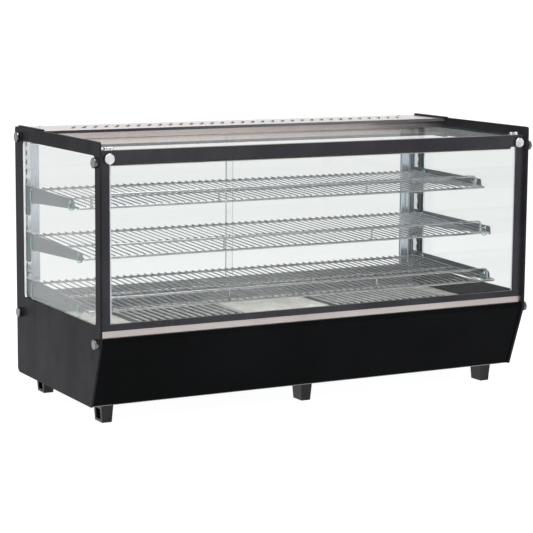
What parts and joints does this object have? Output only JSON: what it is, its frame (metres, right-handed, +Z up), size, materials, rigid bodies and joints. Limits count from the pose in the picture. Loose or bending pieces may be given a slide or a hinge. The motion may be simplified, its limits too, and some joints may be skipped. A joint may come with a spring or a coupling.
{
  "type": "bakery display case",
  "caption": "Counter-top heated bakery display case with glass sides, wire shelves, clamp knobs, ribbed vent covers and sliding rear doors.",
  "frame": {"origin": "centre of the overall footprint, on the counter under the feet", "axes": "+X to the right as seen from the customer's side, +Y to the rear doors, +Z up; the front faces -Y"},
  "size_m": [1.239, 0.562, 0.6889],
  "materials": {
    "black_sheet": "fine satin powder coat",
    "frame_paint": "smooth satin paint",
    "stainless": "brushed",
    "bright_steel": "polished",
    "trim_steel": "brushed along its length",
    "galvanised": "plain galvanised sheet",
    "deck_sheet": "pale satin sheet",
    "chrome": "polished",
    "bracket_steel": "satin",
    "aluminium": "anodised",
    "glass": "clear float glass",
    "seal": "pale soft plastic",
    "diffuser": "milky",
    "tie": "clear pale blue",
    "black_plastic": "satin",
    "foot_plastic": "moulded",
    "screw": "zinc plated"
  },
  "bodies": {
    "case": {"side_panel_left": "black_sheet", "side_panel_right": "black_sheet", "side_glass_left": "glass", "side_glass_right": "glass", "front_glass": "glass", "top_glass": "glass", "front_top_bar": "frame_paint", "front_stiles": "frame_paint", "front_bottom_rail": "frame_paint", "front_seals": "seal", "trim_strip": "trim_steel", "lower_front_panel": "black_sheet", "bottom_pan": "galvanised", "deck_pan": "deck_sheet", "vent_cover_left": "deck_sheet", "vent_cover_right": "deck_sheet", "rear_panel": "black_sheet", "sheet_screws": "screw", "canopy_cover": "stainless", "canopy_floor": "galvanised", "canopy_end_trims": "black_plastic", "lamp_housing": "galvanised", "lamp_diffuser": "diffuser", "shelf_post_left": "bright_steel", "shelf_post_right": "bright_steel", "door_jambs": "aluminium", "door_track_top": "aluminium", "door_track_bottom": "aluminium", "shelf_brackets_top": "bracket_steel", "shelf_brackets_middle": "bracket_steel", "shelf_brackets_bottom": "bracket_steel", "shelf_grid_top": "chrome", "shelf_grid_middle": "chrome", "shelf_grid_bottom": "chrome", "shelf_guard_top": "chrome", "shelf_guard_middle": "chrome", "shelf_guard_bottom": "chrome", "bracket_ties": "tie", "clamp_knobs": "chrome", "knob_washers": "black_plastic", "glass_clips": "chrome", "feet": "foot_plastic", "foot_screws": "screw", "fan_frames": "black_plastic", "heaters": "bright_steel", "control_panel": "stainless", "switch_frames": "black_plastic", "thermostat_body": "black_plastic", "thermometer": "bright_steel", "cable_gland": "black_plastic", "terminal_block": "seal"},
    "door_left": {"door_glass_left": "glass", "door_stile_left": "aluminium"},
    "door_right": {"door_glass_right": "glass", "door_stile_right": "aluminium"},
    "power_switch": {"power_switch": "black_plastic"},
    "light_switch": {"light_switch": "black_plastic"},
    "thermostat_knob": {"thermostat_knob": "black_plastic"},
    "fan_left": {"fan_rotor_left": "black_plastic"},
    "fan_right": {"fan_rotor_right": "black_plastic"}
  },
  "joints": [
    {"name": "door_left_slide", "type": "slide", "parent": "case", "child": "door_left", "axis": [1, 0, 0], "range_m": [0, 0.52]},
    {"name": "door_right_slide", "type": "slide", "parent": "case", "child": "door_right", "axis": [1, 0, 0], "range_m": [-0.52, 0]},
    {"name": "power_switch_rock", "type": "hinge", "parent": "case", "child": "power_switch", "pos_m": [-0.535, 0.2565, 0.123], "axis": [1, 0, 0], "range_deg": [0, 14]},
    {"name": "light_switch_rock", "type": "hinge", "parent": "case", "child": "light_switch", "pos_m": [-0.5, 0.2565, 0.123], "axis": [1, 0, 0], "range_deg": [0, 14]},
    {"name": "thermostat_turn", "type": "hinge", "parent": "case", "child": "thermostat_knob", "pos_m": [-0.445, 0.269, 0.123], "axis": [0, -1, 0], "range_deg": [0, 270]},
    {"name": "fan_left_spin", "type": "hinge", "parent": "case", "child": "fan_left", "pos_m": [-0.28, 0.104, 0.065], "axis": [0, 0, 1], "continuous": true},
    {"name": "fan_right_spin", "type": "hinge", "parent": "case", "child": "fan_right", "pos_m": [0.236, 0.104, 0.065], "axis": [0, 0, 1], "continuous": true}
  ]
}
